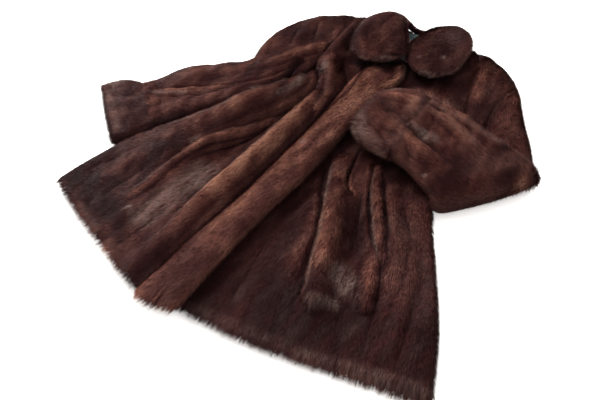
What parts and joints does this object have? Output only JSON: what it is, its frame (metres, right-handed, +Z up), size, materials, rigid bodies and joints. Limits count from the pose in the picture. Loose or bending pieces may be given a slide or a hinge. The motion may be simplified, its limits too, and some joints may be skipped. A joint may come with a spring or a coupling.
{
  "type": "mink coat laid flat",
  "caption": "Long-sleeved, flared fur coat with a rounded collar and deep cuffs, closed and laid flat on its back with one sleeve folded over the front.",
  "frame": {"origin": "on the floor under the middle of the back panel, on the coat's centre line", "axes": "+Z up from the floor, +Y up the coat towards the collar, +X towards the wearer's left"},
  "size_m": [1.0098, 0.97, 0.0811],
  "materials": {
    "mink": "dense glossy fur, dark reddish brown, lying down the coat",
    "mink_trim": "dense glossy fur, dark reddish brown, lying out to the trim's edge",
    "lining": "smooth grey satin",
    "label": "plain woven damask"
  },
  "bodies": {
    "root": {"back": "mink", "front_right": "mink", "front_left": "mink", "front_band": "mink", "sleeve_right": "mink", "sleeve_left": "mink", "cuff_right": "mink_trim", "cuff_left": "mink_trim", "collar": "mink_trim", "neck_lining": "lining", "label": "label"}
  },
  "joints": []
}
